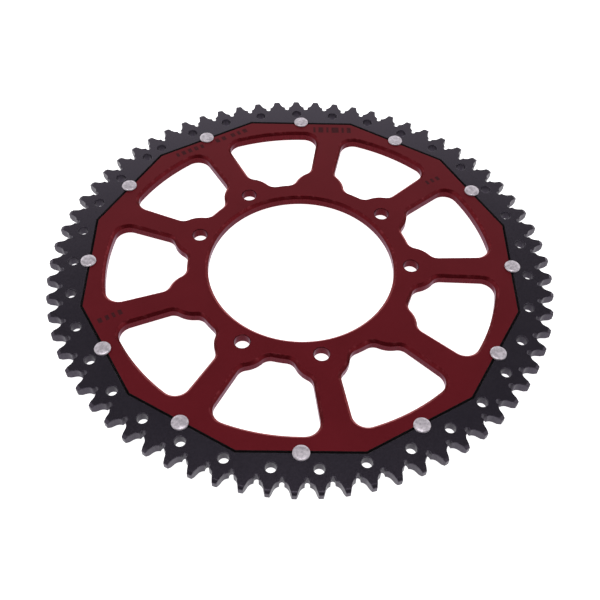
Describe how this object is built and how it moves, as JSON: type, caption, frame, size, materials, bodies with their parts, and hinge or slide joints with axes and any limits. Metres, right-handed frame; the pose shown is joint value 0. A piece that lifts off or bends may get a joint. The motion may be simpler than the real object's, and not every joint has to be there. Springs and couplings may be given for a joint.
{
  "type": "motorcycle rear sprocket",
  "caption": "Rear chain sprocket of two metals: a coated steel tooth ring riveted round a red anodised aluminium carrier with spokes, a wide bore and bolt holes.",
  "frame": {"origin": "centre of the bore, midway between the sprocket's two faces", "axes": "+Z along the axle, towards the side shown in front; +X along a spoke that has a bolt hole; +Y completes the right-handed frame"},
  "size_m": [0.2845, 0.2846, 0.0086],
  "materials": {
    "coated_steel": "satin black coating with a fine grain, worn a little grey along the edges",
    "red_anodised_aluminium": "dark red satin anodising",
    "rivet_steel": "pressed bright steel, satin"
  },
  "bodies": {
    "root": {"tooth_ring": "coated_steel", "carrier": "red_anodised_aluminium", "rivet_01": "rivet_steel", "rivet_02": "rivet_steel", "rivet_03": "rivet_steel", "rivet_04": "rivet_steel", "rivet_05": "rivet_steel", "rivet_06": "rivet_steel", "rivet_07": "rivet_steel", "rivet_08": "rivet_steel", "rivet_09": "rivet_steel", "rivet_10": "rivet_steel", "rivet_11": "rivet_steel", "rivet_12": "rivet_steel"}
  },
  "joints": []
}
